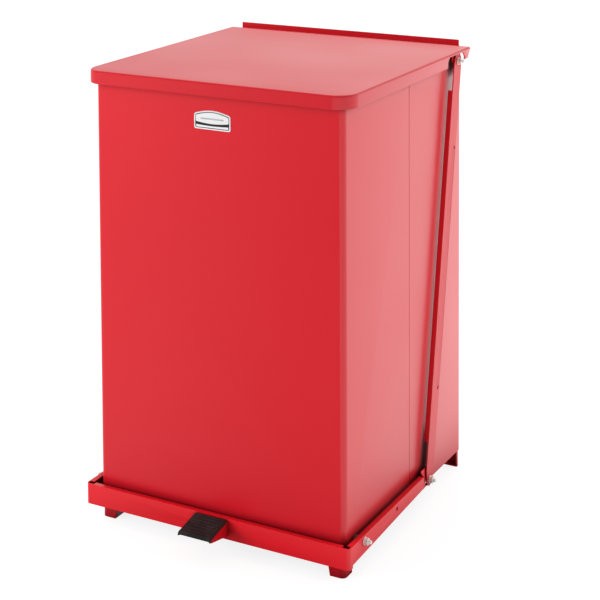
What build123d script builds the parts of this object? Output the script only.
"""Step-on safety waste can in folded sheet steel, with a square body and a removable liner.

A treadle frame wraps round the foot of the body.  Pressing its pedal lifts two side links,
and the links push the hinged lid open.  All lengths are in millimetres.
X runs to the can's right, Y to its back and Z up.
"""
import os
from math import atan2, degrees, hypot

from build123d import *

# --- driving dimensions -----------------------------------------------------------------
SHEET = 1.2                 # body, hinge and liner sheet
HEAVY = 1.5                 # lid, treadle, link and bracket sheet
TOUCH = 0.1                 # air left between parts that only rest on each other

BODY_W = 355.0              # across the side walls
BODY_D = 364.0              # front wall to back wall
BODY_R = 8.0                # vertical corner bends
BODY_BASE = 23.0            # height of the walls' lower edge above the floor
BODY_TOP = 584.0            # height of the walls' upper edge
SEAM_Y = 7.0                # where the front and rear shells meet
SEAM_GAP = 0.8
RIM_LEG = 15.0              # depth of the mouth's angle frame
RIM_SHELF = 13.0            # its width inward
RIM_HEM = 5.0               # its turned-down inner edge
PAN_BASE = 25.0             # underside of the body's floor
FOOT_TOP = 33.0             # upper edge of the feet, and of the pan
FOOT_WIDE = 24.0            # a foot's leg at the body's edge
FOOT_SOLE = 20.0            # a foot's leg at the floor
FOOT_REAR = 10.0            # a rear foot's narrower leg along the side wall

LID_W = 380.0
LID_FRONT = -194.0          # outer face of the lid's front flange
LID_BACK = 188.0            # outer face of the lid's upturned rear lip
LID_TOP = 590.0
LID_FLANGE = 17.0           # depth of the front and side flanges
LID_CORNER_R = 28.0         # front corners in plan
LID_LIP = 8.0               # rise of the rear lip above the lid
LID_LIP_W = 344.0
LID_BEND_R = 2.6

TREADLE_W = 381.0
TREADLE_FRONT = -196.5
TREADLE_TOP = 47.0
TREADLE_BASE = 20.5
TREADLE_LIP = 7.0           # inward fold along the top of the frame
ARM_END = 20.0              # where the side arms step inward to the link tabs

PEDAL_W = 47.0
PEDAL_REACH = 42.5          # from the frame's front face to the pedal's tip
PEDAL_TOP = 44.3            # steel top at the frame
PEDAL_DROP = 7.4            # how far the pedal falls to its tip
PEDAL_TIP_DEPTH = 3.4       # depth of its cheeks at the tip
PEDAL_CHEEK_BASE = 25.5     # lower edge of its cheeks at the frame
PEDAL_RIVET = (13.0, 32.0)  # rivets to the frame's front bar, as (X, Z)
PAD_THICK = 2.2
PAD_LIP = 1.9               # the tread's turned-down front edge
PAD_RIBS = 8

PLATE = (-3.0, 540.8)       # middle of the nameplate, as (X, Z)
PLATE_W = 52.0
PLATE_H = 24.0

LINER_W = 332.0
LINER_D = 340.0
LINER_TOP = 548.0

# --- axes of the moving joints, as (Y, Z) -----------------------------------------------
HINGE = (190.95, 589.0)     # lid hinge pin
FOOT_PIVOT = (-155.0, 40.0)  # treadle pivot on the body's sides
LINK_LOW = (51.5, 33.0)     # link to treadle tab, the slotted joint
LINK_HIGH = (148.5, 576.0)  # link to lid bracket
HANDLE = (156.0, 520.0)     # liner handle pivot, as (X, Z)

# --- sideways stack of the linkage, from the body outwards -------------------------------
SIDE = BODY_W / 2
TAB_OUT = 184.5             # outer face of the treadle tab and of the lid bracket
LINK_IN = TAB_OUT + 1.0
LINK_OUT = LINK_IN + HEAVY
ARM_OUT = TREADLE_W / 2
ARM_IN = ARM_OUT - HEAVY
LINK_RISE = LINK_HIGH[1] - LINK_LOW[1]
LINK_SPAN = LINK_HIGH[0] - LINK_LOW[0]
LINK_LENGTH = hypot(LINK_SPAN, LINK_RISE)
LINK_LEAN = degrees(atan2(LINK_SPAN, LINK_RISE))
LINK_HALF = 12.0            # half the link's width
LINK_END_R = 8.6            # its rounded lower end
LINK_CROWN_R = 11.2         # its rounded upper end
LINK_FOLD = 7.0             # its inward fold along the front edge
LINK_FOLD_SPAN = (50.0, 40.0)   # the fold stops short of the bolts by these
LINK_HOLES = (117.5, 435.5)     # spare holes, up from the lower bolt

# --- hardware ----------------------------------------------------------------------------
BOLT_R = 2.5                # M5 throughout
RUNNING = 0.06              # radial play of a turning fit
LOOSE = 0.15                # radial play of a hole that only locates a bolt
NUT_AF = 8.0                # across the flats
NUT_H = 4.0
WASHER_R = 5.0
WASHER_T = 1.0
HEAD_R = 4.5
HEAD_T = 3.0
SLOT_FORWARD = 7.2          # travel of the lower link bolt ahead of its rest place
SLOT_R = BOLT_R + 1.6       # room for the bolt to ride up and down
PIVOT_STUB = 9.3            # bolt ends stand this far outside the treadle
LINK_STUB = 8.8             # and this far outside the links
RIVET_HOLE = 2.1            # radius of the pedal rivets' holes

BARREL_R = 2.7              # hinge knuckles
PIN_R = 1.5
LEAF_T = 1.2
HINGE_HALF = 170.0
KNUCKLES = 17
RIVETS = 6
RIVET_Z = 577.0

SPARE_HOLE = (-60.0, 40.0)  # unused hole in the treadle's arms, as (Y, Z)
LINER_R = 22.0              # the liner's corner bends
LINER_BEAD = 5.0            # height of its rolled rim
WIRE_R = 2.5                # the liner's wire handles

# The row's origin is on the floor, midway between the pedal's tip and the hinge's back.
PEDAL_TIP = TREADLE_FRONT - PEDAL_REACH
Y_SHIFT = -(PEDAL_TIP + HINGE[0] + BARREL_R) / 2


# --- small builders ----------------------------------------------------------------------
def block(x, y, z):
    """A box given by its (low, high) pair along each axis."""
    size = Box(x[1] - x[0], y[1] - y[0], z[1] - z[0])
    return Pos((x[0] + x[1]) / 2, (y[0] + y[1]) / 2, (z[0] + z[1]) / 2) * size


def tube_wall(width, depth, radius, thickness, z):
    """Four walls of a rounded rectangular tube between two heights."""
    outer = RectangleRounded(width, depth, radius)
    inner = RectangleRounded(width - 2 * thickness, depth - 2 * thickness, radius - thickness)
    return Pos(0, 0, z[0]) * extrude(outer - inner, z[1] - z[0])


def side_plate(points, x):
    """A flat plate facing sideways, its outline given as (Y, Z) points, between two X values."""
    face = make_face(Polyline(*points, close=True))
    return extrude(Plane.YZ.offset(x[0]) * face, x[1] - x[0], dir=(1, 0, 0))


def side_rod(centre, radius, x):
    """A round bar along X at a (Y, Z) centre."""
    return extrude(Plane.YZ.offset(x[0]) * Pos(*centre) * Circle(radius), x[1] - x[0])


def side_hex(centre, across_flats, x):
    """A hexagonal bar along X at a (Y, Z) centre."""
    outline = RegularPolygon(across_flats / 2, 6, major_radius=False)
    return extrude(Plane.YZ.offset(x[0]) * Pos(*centre) * outline, x[1] - x[0])


def washer(centre, x, hole):
    """A flat ring facing sideways."""
    return side_rod(centre, WASHER_R, x) - side_rod(centre, hole, x)


def group(parts):
    """Separate solids gathered into one node."""
    gathered = parts[0]
    for part in parts[1:]:
        gathered = gathered + part
    return gathered


def both_sides(part):
    """The part and its mirror image, as separate solids of one node."""
    return group([part, mirror(part, Plane.YZ)])


def corners(x, y):
    """The four (X, Y) places at plus and minus x and y."""
    return [(sx * x, sy * y) for sx in (-1, 1) for sy in (-1, 1)]


# --- body --------------------------------------------------------------------------------
def body_walls():
    return tube_wall(BODY_W, BODY_D, BODY_R, SHEET, (BODY_BASE, BODY_TOP))


def front_shell():
    """The front wall and the front half of each side, folded from one sheet."""
    keep = block((-SIDE, SIDE), (-BODY_D / 2, SEAM_Y - SEAM_GAP / 2), (0, BODY_TOP))
    shell = body_walls() & keep
    return shell - side_rod(FOOT_PIVOT, BOLT_R + LOOSE, (-SIDE - 1, SIDE + 1))


def rear_shell():
    """The back wall and the rear half of each side."""
    keep = block((-SIDE, SIDE), (SEAM_Y + SEAM_GAP / 2, BODY_D / 2), (0, BODY_TOP))
    return body_walls() & keep


def seam_straps():
    """Inner cover strips that join the two shells."""
    inner = SIDE - SHEET
    strap = block((inner - SHEET, inner), (SEAM_Y - 15, SEAM_Y + 15), (40, BODY_TOP - 20))
    return both_sides(strap)


def rim_frame():
    """The angle frame that stiffens the mouth of the body, hemmed along its inner edge."""
    width = BODY_W - 2 * SHEET
    depth = BODY_D - 2 * SHEET
    radius = BODY_R - SHEET
    leg = tube_wall(width, depth, radius, SHEET, (BODY_TOP - RIM_LEG, BODY_TOP))
    mouth_w = width - 2 * RIM_SHELF
    mouth_d = depth - 2 * RIM_SHELF
    mouth = RectangleRounded(mouth_w, mouth_d, 3)
    shelf_face = RectangleRounded(width, depth, radius) - mouth
    shelf = Pos(0, 0, BODY_TOP - SHEET) * extrude(shelf_face, SHEET)
    hem_face = RectangleRounded(mouth_w + 2 * SHEET, mouth_d + 2 * SHEET, 3 + SHEET) - mouth
    hem = Pos(0, 0, BODY_TOP - RIM_HEM) * extrude(hem_face, RIM_HEM)
    return leg + shelf + hem


def bottom_pan():
    """The raised floor of the body, a tray with upturned edges."""
    width = BODY_W - 2 * (SHEET + HEAVY + TOUCH)
    depth = BODY_D - 2 * (SHEET + HEAVY + TOUCH)
    radius = BODY_R - 1
    tray = Pos(0, 0, PAN_BASE) * extrude(RectangleRounded(width, depth, radius), SHEET)
    return tray + tube_wall(width, depth, radius, SHEET, (PAN_BASE, FOOT_TOP))


def corner_feet():
    """Four angle feet that stand under the corners, each with a turned sole."""
    inner_x = SIDE - SHEET
    inner_y = BODY_D / 2 - SHEET
    radius = BODY_R - SHEET
    walls = tube_wall(2 * inner_x, 2 * inner_y, radius, HEAVY, (0, FOOT_TOP))
    sole = extrude(RectangleRounded(2 * inner_x, 2 * inner_y, radius), HEAVY)
    taper = [(0, 0), (FOOT_SOLE, 0), (FOOT_WIDE, BODY_BASE), (FOOT_WIDE, FOOT_TOP), (0, FOOT_TOP)]
    outline = make_face(Polyline(*taper, close=True))
    keep_x = Pos(inner_x, 0, 0) * mirror(extrude(Plane.XZ * outline, BODY_D, both=True), Plane.YZ)
    keep_y = Pos(0, inner_y, 0) * mirror(extrude(Plane.YZ * outline, BODY_W, both=True), Plane.XZ)
    full = (walls + sole) & keep_x & keep_y
    rear = full & block((0, SIDE), (inner_y - FOOT_REAR, BODY_D), (0, FOOT_TOP))
    front = mirror(full, Plane.XZ)
    return group([rear, mirror(rear, Plane.YZ), front, mirror(front, Plane.YZ)])


def nameplate():
    """A blank plate on the front wall, under the lid."""
    plate = extrude(RectangleRounded(PLATE_W, PLATE_H, 3), 0.8)
    field = Pos(0, 0, 0.5) * extrude(RectangleRounded(PLATE_W - 3, PLATE_H - 3, 2), 1)
    x, z = PLATE
    return Pos(x, -BODY_D / 2, z) * Rot(90, 0, 0) * (plate - field)


def lid_bumpers():
    """Rubber buttons on the rim that the closed lid rests on."""
    height = LID_TOP - HEAVY - TOUCH - BODY_TOP
    button = extrude(Circle(5), height)
    button = fillet(button.edges().group_by(Axis.Z)[-1], 1.5)
    places = corners(120, BODY_D / 2 - SHEET - 7)
    return group([Pos(x, y, BODY_TOP) * button for x, y in places])


# --- lid hinge ---------------------------------------------------------------------------
def hinge_rail():
    """The stepped rail that carries the hinge off the back wall."""
    back = BODY_D / 2
    face = LID_BACK
    foot = BODY_TOP - 28
    step = BODY_TOP - 12
    top = BODY_TOP + 1.5
    profile = [
        (back, foot), (back + SHEET, foot), (back + SHEET, step - SHEET), (face, step - SHEET),
        (face, top), (face - SHEET, top), (face - SHEET, step), (back, step),
    ]
    rail = side_plate(profile, (-HINGE_HALF, HINGE_HALF))
    for x in rivet_places():
        rail -= rivet_hole(x)
    return rail


def rivet_places():
    """Even stations along the hinge."""
    step = 2 * HINGE_HALF / RIVETS
    return [-HINGE_HALF + step * (i + 0.5) for i in range(RIVETS)]


def rivet_hole(x):
    return Pos(x, LID_BACK, RIVET_Z) * Rot(90, 0, 0) * Cylinder(1.9, 12)


def hinge_rivets():
    """Domed rivets through the fixed leaf and the rail."""
    front = LID_BACK - SHEET
    back = LID_BACK + 0.05 + LEAF_T
    rivets = []
    for x in rivet_places():
        shank = Pos(x, (front + back) / 2, RIVET_Z) * Rot(90, 0, 0) * Cylinder(1.8, back - front)
        dome = Pos(x, back, RIVET_Z) * (Sphere(3.4) & block((-4, 4), (0, 1.6), (-4, 4)))
        tail = Pos(x, front - 0.6, RIVET_Z) * Rot(90, 0, 0) * Cylinder(2.9, 1.2)
        rivets.append(shank + dome + tail)
    return group(rivets)


def knuckle_spans(first):
    """The X spans of every second knuckle, from the first or the second one."""
    pitch = 2 * HINGE_HALF / KNUCKLES
    starts = [-HINGE_HALF + pitch * i for i in range(first, KNUCKLES, 2)]
    return [(x + 0.2, x + pitch - 0.2) for x in starts]


def hinge_leaf(z, first):
    """A flat leaf with rolled knuckles round the pin, z being its (low, high) edges."""
    near = LID_BACK + 0.05
    leaf = block((-HINGE_HALF, HINGE_HALF), (near, near + LEAF_T), z)
    edge = z[1] if z[1] < HINGE[1] else z[0]
    reach = (min(edge, HINGE[1]), max(edge, HINGE[1]))
    for span in knuckle_spans(first):
        leaf += side_rod(HINGE, BARREL_R, span)
        leaf += block(span, (near + 0.2, near + LEAF_T), reach)
    return leaf - side_rod(HINGE, PIN_R + RUNNING, (-HINGE_HALF - 1, HINGE_HALF + 1))


def hinge_leaf_fixed():
    leaf = hinge_leaf((561, HINGE[1] - BARREL_R - 0.5), 0)
    for x in rivet_places():
        leaf -= rivet_hole(x)
    return leaf


def hinge_leaf_lid():
    return hinge_leaf((HINGE[1] + BARREL_R + 0.5, LID_TOP + LID_LIP - 0.4), 1)


def hinge_pin():
    pin = side_rod(HINGE, PIN_R, (-HINGE_HALF - 1, HINGE_HALF + 1))
    heads = [side_rod(HINGE, PIN_R + 0.7, (x, x + 1)) for x in (-HINGE_HALF - 2, HINGE_HALF + 1)]
    return pin + heads[0] + heads[1]


# --- lid ---------------------------------------------------------------------------------
def lid_outline(inset):
    """The lid in plan, with round front corners; inset moves every side inward."""
    width = LID_W - 2 * inset
    depth = LID_BACK - 3 - LID_FRONT - inset
    centre = LID_FRONT + inset + depth / 2
    plan = Pos(0, centre) * Rectangle(width, depth)
    front = plan.vertices().group_by(Axis.Y)[0]
    plan = fillet(front, LID_CORNER_R - inset)
    return plan


def lid_panel():
    """The lid: a flat top with a flange turned down in front and at the sides."""
    low = LID_TOP - LID_FLANGE
    outer = Pos(0, 0, low) * extrude(lid_outline(0), LID_FLANGE)
    top_edges = outer.edges().group_by(Axis.Z)[-1].sort_by(Axis.Y)[:-1]
    outer = fillet(top_edges, LID_BEND_R)
    inner = Pos(0, 0, low) * extrude(lid_outline(HEAVY), LID_FLANGE - HEAVY)
    inner += block((-LID_W / 2 + HEAVY, LID_W / 2 - HEAVY), (150, LID_BACK), (low, LID_TOP - HEAVY))
    lid = outer - inner
    lid += rear_lip()
    for side in (-1, 1):
        lid -= link_notch(side)
        lid -= rear_chamfer(side)
    return lid


def rear_lip():
    """The upturned rear edge that carries the moving hinge leaf."""
    back = LID_BACK
    under = LID_TOP - HEAVY
    profile = [
        (back - 8, under), (back, under), (back, LID_TOP + LID_LIP),
        (back - HEAVY, LID_TOP + LID_LIP), (back - HEAVY, LID_TOP), (back - 8, LID_TOP),
    ]
    return side_plate(profile, (-LID_LIP_W / 2, LID_LIP_W / 2))


def link_notch(side):
    """The opening in a side flange where the link's upper bolt shows."""
    front = LINK_HIGH[0] - 42
    rear = LINK_HIGH[0] + 15.5
    low = LID_TOP - LID_FLANGE - 3
    top = LID_TOP - 3.4
    bevel = 6.0
    outline = [
        (front, low), (front, top - bevel), (front + bevel, top),
        (rear - bevel, top), (rear, top - bevel), (rear, low),
    ]
    x = sorted((side * (LID_W / 2 - 4), side * (LID_W / 2 + 1)))
    return side_plate(outline, x)


def rear_chamfer(side):
    """The sloping cut at the rear end of a side flange."""
    end = LID_BACK - 3
    low = LID_TOP - LID_FLANGE - 3
    corner = LID_TOP - LID_BEND_R
    outline = [(end + 1, low), (end - 10, low), (end - 10, low + 6.5), (end, corner), (end + 1, corner)]
    step = [(end - 25, low), (end - 25, low + 6), (end + 1, low + 6), (end + 1, low)]
    x = sorted((side * (LID_W / 2 - 4), side * (LID_W / 2 + 1)))
    return side_plate(outline, x) + side_plate(step, x)


def lid_bracket():
    """The right ear under the lid that the link's upper bolt turns in."""
    under = LID_TOP - HEAVY
    ear_in = TAB_OUT - HEAVY
    y, z = LINK_HIGH
    along = (y - 14, y + 14)
    ear = block((ear_in, TAB_OUT), along, (z, under))
    ear += side_rod(LINK_HIGH, 11, (ear_in, TAB_OUT))
    ear += block((ear_in - 13, TAB_OUT), along, (under - HEAVY, under))
    return ear - side_rod(LINK_HIGH, BOLT_R + RUNNING, (ear_in - 1, TAB_OUT + 1))


def lid_stiffener():
    """A hat channel welded across the underside of the lid."""
    under = LID_TOP - HEAVY
    half = 150
    wide = 22
    deep = 9
    hat = block((-half, half), (-wide, wide), (under - deep, under))
    hollow_z = (under - deep + SHEET, under + 1)
    hollow = block((-half - 1, half + 1), (SHEET - wide, wide - SHEET), hollow_z)
    flanges = block((-half, half), (wide - SHEET, wide + 12), (under - SHEET, under))
    return hat - hollow + flanges + mirror(flanges, Plane.XZ)


# --- treadle -----------------------------------------------------------------------------
def frame_plan(inset):
    """The treadle frame in plan out to the ends of its arms; inset moves each side inward."""
    back = ARM_END + 4
    width = TREADLE_W - 2 * inset
    depth = back - TREADLE_FRONT - inset
    plan = Pos(0, TREADLE_FRONT + inset + depth / 2) * Rectangle(width, depth)
    front = plan.vertices().group_by(Axis.Y)[0]
    return fillet(front, max(5.0 - inset, 1.5))


def treadle_frame():
    """The moving frame: a front bar and two side arms with inward top folds and rear tabs."""
    height = TREADLE_TOP - TREADLE_BASE
    wall = frame_plan(0) - frame_plan(HEAVY)
    fold = frame_plan(0) - frame_plan(TREADLE_LIP)
    frame = Pos(0, 0, TREADLE_BASE) * extrude(wall, height)
    frame += Pos(0, 0, TREADLE_TOP - HEAVY) * extrude(fold, HEAVY)
    bar_back = TREADLE_FRONT + 9.5
    arm_back = ARM_END + 5
    under_arm = [(bar_back, 10), (bar_back, 24), (arm_back, 32), (arm_back, 10)]
    frame -= side_plate(under_arm, (-TREADLE_W, TREADLE_W))
    for side in (-1, 1):
        frame += link_tab(side)
        frame -= fold_relief(side)
    frame -= side_rod(FOOT_PIVOT, BOLT_R + RUNNING, (-TREADLE_W, TREADLE_W))
    frame -= side_rod(SPARE_HOLE, 2.4, (-TREADLE_W, TREADLE_W))
    for x, z in pedal_rivet_places():
        frame -= Pos(x, TREADLE_FRONT, z) * Rot(90, 0, 0) * Cylinder(RIVET_HOLE, 12)
    return frame


def fold_relief(side):
    """The bend relief at each front corner of the top fold."""
    x = sorted((side * (ARM_OUT - HEAVY), side * (ARM_OUT - 11)))
    y = (TREADLE_FRONT + HEAVY, TREADLE_FRONT + TREADLE_LIP + 1)
    return block(x, y, (TREADLE_TOP - 5, TREADLE_TOP + 1))


def link_tab(side):
    """The joggled tab behind an arm, with the slot for the link's lower bolt."""
    tab_in = TAB_OUT - HEAVY
    end = LINK_LOW[0] + 9
    joggle = ARM_END + 4
    plan = [
        (ARM_OUT, joggle - 1), (ARM_OUT, joggle), (TAB_OUT, joggle + 6), (TAB_OUT, end),
        (tab_in, end), (tab_in, joggle + 5.4), (ARM_IN, joggle - 0.6), (ARM_IN, joggle - 1),
    ]
    strip = extrude(make_face(Polyline(*plan, close=True)), 60, dir=(0, 0, 1))
    y, z = LINK_LOW
    shape = [
        (joggle - 2, 32), (joggle - 2, TREADLE_TOP), (joggle + 8, TREADLE_TOP + 4),
        (y - 2, TREADLE_TOP + 4), (y + 9, z + 6), (y + 9, z - 3), (y + 3, z - 8), (y - 16, z - 8),
    ]
    tab = strip & side_plate(shape, (ARM_IN - 10, ARM_OUT + 1))
    slot = side_rod(LINK_LOW, SLOT_R, (tab_in - 1, TAB_OUT + 1))
    slot += side_rod((y - SLOT_FORWARD, z), SLOT_R, (tab_in - 1, TAB_OUT + 1))
    slot += block((tab_in - 1, TAB_OUT + 1), (y - SLOT_FORWARD, y), (z - SLOT_R, z + SLOT_R))
    tab = tab - slot
    return tab if side > 0 else mirror(tab, Plane.YZ)


def pedal_rivet_places():
    x, z = PEDAL_RIVET
    return [(-x, z), (x, z)]


def pedal():
    """The foot pedal: a folded box bracket riveted to the frame's front bar."""
    back = TREADLE_FRONT
    tip = PEDAL_TIP + PAD_LIP + TOUCH
    tip_top = PEDAL_TOP - PEDAL_DROP
    half = PEDAL_W / 2
    cheek = [(back, PEDAL_CHEEK_BASE), (back, PEDAL_TOP), (tip, tip_top), (tip, tip_top - PEDAL_TIP_DEPTH)]
    plate = [(back, PEDAL_TOP - HEAVY), (back, PEDAL_TOP), (tip, tip_top), (tip, tip_top - HEAVY)]
    bracket = side_plate(plate, (-half, half))
    bracket += side_plate(cheek, (half - HEAVY, half))
    bracket += side_plate(cheek, (-half, -half + HEAVY))
    bracket += block((-half, half), (back - HEAVY, back), (PEDAL_CHEEK_BASE, PEDAL_TOP - 0.5))
    for x, z in pedal_rivet_places():
        bracket -= Pos(x, back, z) * Rot(90, 0, 0) * Cylinder(RIVET_HOLE, 12)
    return bracket


def pedal_rivets():
    rivets = []
    for x, z in pedal_rivet_places():
        shank = Pos(x, TREADLE_FRONT, z) * Rot(90, 0, 0) * Cylinder(RIVET_HOLE - LOOSE, 2 * HEAVY)
        head = Pos(x, TREADLE_FRONT - HEAVY - 0.7, z) * Rot(90, 0, 0) * Cylinder(3.6, 1.4)
        tail = Pos(x, TREADLE_FRONT + HEAVY + 0.7, z) * Rot(90, 0, 0) * Cylinder(3.2, 1.4)
        rivets.append(shank + head + tail)
    return group(rivets)


def pedal_pad():
    """The ribbed rubber tread on the pedal, turned down over its tip."""
    back = TREADLE_FRONT - 0.4
    tip = PEDAL_TIP + PAD_LIP
    slope = PEDAL_DROP / (TREADLE_FRONT - tip)
    half = PEDAL_W / 2 - 0.3

    def steel(y):
        return PEDAL_TOP + TOUCH - (TREADLE_FRONT - y) * slope

    lip_base = steel(tip) - PEDAL_TIP_DEPTH
    outline = [
        (back, steel(back)), (back, steel(back) + PAD_THICK), (PEDAL_TIP, steel(PEDAL_TIP) + PAD_THICK),
        (PEDAL_TIP, lip_base), (tip, lip_base), (tip, steel(tip)),
    ]
    pad = side_plate(outline, (-half, half))
    pitch = (back - PEDAL_TIP) / PAD_RIBS
    for i in range(PAD_RIBS):
        y = back - (i + 0.5) * pitch
        pad += side_rod((y, steel(y) + PAD_THICK), 0.8, (-half + 2, half - 2))
    return pad


def pivot_bolts():
    """Bolts from inside the body that the treadle turns on."""
    inner = SIDE - SHEET
    head = side_rod(FOOT_PIVOT, HEAD_R, (inner - HEAD_T - TOUCH, inner - TOUCH))
    shank = side_rod(FOOT_PIVOT, BOLT_R, (inner - HEAD_T, ARM_OUT + PIVOT_STUB))
    return both_sides(head + shank)


def pivot_spacers():
    """Sleeves that hold the treadle arms off the body."""
    x = (SIDE + TOUCH, ARM_IN - TOUCH)
    return both_sides(side_rod(FOOT_PIVOT, 5, x) - side_rod(FOOT_PIVOT, BOLT_R + LOOSE, x))


def pivot_washers():
    x = (ARM_OUT + TOUCH, ARM_OUT + TOUCH + WASHER_T)
    return both_sides(washer(FOOT_PIVOT, x, BOLT_R + LOOSE))


def pivot_nuts():
    start = ARM_OUT + 2 * TOUCH + WASHER_T
    return both_sides(nut(FOOT_PIVOT, start))


def nut(centre, start):
    """A hexagon nut whose inner face is at X = start, with chamfered outer corners."""
    x = (start, start + NUT_H)
    body = side_hex(centre, NUT_AF, x) - side_rod(centre, BOLT_R + LOOSE, x)
    crown = side_rod(centre, NUT_AF / 2 + 0.45, (x[0], x[1] + 1))
    return body & crown


# --- links -------------------------------------------------------------------------------
def link():
    """The right lifting link: a leaning strip with a fold along its front edge."""
    x = (LINK_IN, LINK_OUT)
    cut = (LINK_IN - 1, LINK_OUT + 1)
    outline = [
        (-LINK_END_R, 0), (-LINK_HALF, 14), (-LINK_HALF, LINK_LENGTH - 6), (-LINK_CROWN_R, LINK_LENGTH),
        (LINK_CROWN_R, LINK_LENGTH), (LINK_HALF, LINK_LENGTH - 6), (LINK_HALF, 14), (LINK_END_R, 0),
    ]
    strip = side_plate(outline, x)
    strip += side_rod((0, 0), LINK_END_R, x)
    strip += side_rod((0, LINK_LENGTH), LINK_CROWN_R, x)
    low, high = LINK_FOLD_SPAN
    fold_y = (-LINK_HALF, -LINK_HALF + HEAVY)
    strip += block((LINK_OUT - LINK_FOLD, LINK_OUT), fold_y, (low, LINK_LENGTH - high))
    for z in (0, LINK_LENGTH):
        strip -= side_rod((0, z), BOLT_R + LOOSE, cut)
    for z in LINK_HOLES:
        strip -= side_rod((6.5, z), 2.2, cut)
    return Pos(0, *LINK_LOW) * Rot(-LINK_LEAN, 0, 0) * strip


def link_bolts():
    """Shoulder bolts at both ends of the right link, headed next to the body."""
    tab_in = TAB_OUT - HEAVY
    bolts = []
    for centre in (LINK_LOW, LINK_HIGH):
        head = side_rod(centre, HEAD_R, (tab_in - TOUCH - HEAD_T, tab_in - TOUCH))
        shank = side_rod(centre, BOLT_R, (tab_in - HEAD_T, LINK_OUT + LINK_STUB))
        bolts.append(head + shank)
    return group(bolts)


def link_washers():
    """Washers on both faces of the right link at each bolt."""
    inner = (TAB_OUT + TOUCH, LINK_IN - TOUCH)
    outer = (LINK_OUT + TOUCH, LINK_OUT + TOUCH + WASHER_T)
    rings = [washer(c, x, BOLT_R + LOOSE) for c in (LINK_LOW, LINK_HIGH) for x in (inner, outer)]
    return group(rings)


def link_nuts():
    start = LINK_OUT + 2 * TOUCH + WASHER_T
    return group([nut(c, start) for c in (LINK_LOW, LINK_HIGH)])


# --- liner -------------------------------------------------------------------------------
def liner_shell():
    """The lift-out waste bucket with a wired rim."""
    base = PAN_BASE + SHEET + TOUCH
    outline = RectangleRounded(LINER_W, LINER_D, LINER_R)
    hollow = RectangleRounded(LINER_W - 2 * SHEET, LINER_D - 2 * SHEET, LINER_R - SHEET)
    bucket = Pos(0, 0, base) * extrude(outline, LINER_TOP - base)
    bucket = bucket - Pos(0, 0, base + SHEET) * extrude(hollow, LINER_TOP - base)
    bead = RectangleRounded(LINER_W + 5, LINER_D + 5, LINER_R + 2.5) - hollow
    rim = Pos(0, 0, LINER_TOP - LINER_BEAD) * extrude(bead, LINER_BEAD)
    rim = fillet(rim.edges().group_by(Axis.Z)[-1], 1.6)
    return bucket + rim


def handle_ears():
    """Two pierced ears on the liner's right inner wall that hold the wire handle."""
    wall = LINER_W / 2 - SHEET
    x, z = HANDLE
    ears = []
    for side in (-1, 1):
        y = sorted((side * 51.3, side * 52.8))
        foot_y = sorted((side * 52.8, side * 66))
        ear = block((x - 6, wall), y, (z - 8, z + 8))
        pad = block((wall - HEAVY, wall), foot_y, (z - 8, z + 8))
        hole = Pos(x, side * 52, z) * Rot(90, 0, 0) * Cylinder(WIRE_R + RUNNING, 10)
        ears.append(ear + pad - hole)
    return group(ears)


def liner_handle():
    """The right drop handle, bent from round wire and hanging against the wall."""
    x, z = HANDLE
    drop = 52.0
    half = 48.0
    points = [
        (x, -half - 9, z), (x, -half, z), (x, -half, z - drop),
        (x, half, z - drop), (x, half, z), (x, half + 9, z),
    ]
    path = FilletPolyline(*points, radius=3.0)
    start = Plane(origin=points[0], z_dir=(0, 1, 0))
    return sweep(start * Circle(WIRE_R), path=path)


# --- build -------------------------------------------------------------------------------
SINGLE = {
    "front_shell": front_shell,
    "rear_shell": rear_shell,
    "seam_straps": seam_straps,
    "rim_frame": rim_frame,
    "bottom_pan": bottom_pan,
    "corner_feet": corner_feet,
    "nameplate": nameplate,
    "lid_bumpers": lid_bumpers,
    "hinge_rail": hinge_rail,
    "hinge_rivets": hinge_rivets,
    "hinge_leaf_fixed": hinge_leaf_fixed,
    "hinge_leaf_lid": hinge_leaf_lid,
    "hinge_pin": hinge_pin,
    "lid_panel": lid_panel,
    "lid_stiffener": lid_stiffener,
    "treadle_frame": treadle_frame,
    "pedal_bracket": pedal,
    "pedal_rivets": pedal_rivets,
    "pedal_pad": pedal_pad,
    "pivot_bolts": pivot_bolts,
    "pivot_spacers": pivot_spacers,
    "pivot_washers": pivot_washers,
    "pivot_nuts": pivot_nuts,
    "liner_shell": liner_shell,
}
PAIRED = {
    "lid_bracket": lid_bracket,
    "link_strip": link,
    "link_bolts": link_bolts,
    "link_washers": link_washers,
    "link_nuts": link_nuts,
    "handle_ears": handle_ears,
    "liner_handle": liner_handle,
}


def write(name, part):
    """Move a finished part into the row frame and write it."""
    export_step(Pos(0, Y_SHIFT, 0) * part, "parts/" + name + ".step")


os.makedirs("parts", exist_ok=True)
for node, make in SINGLE.items():
    write(node, make())
for node, make in PAIRED.items():
    right = make()
    write(node + "_right", right)
    write(node + "_left", mirror(right, Plane.YZ))
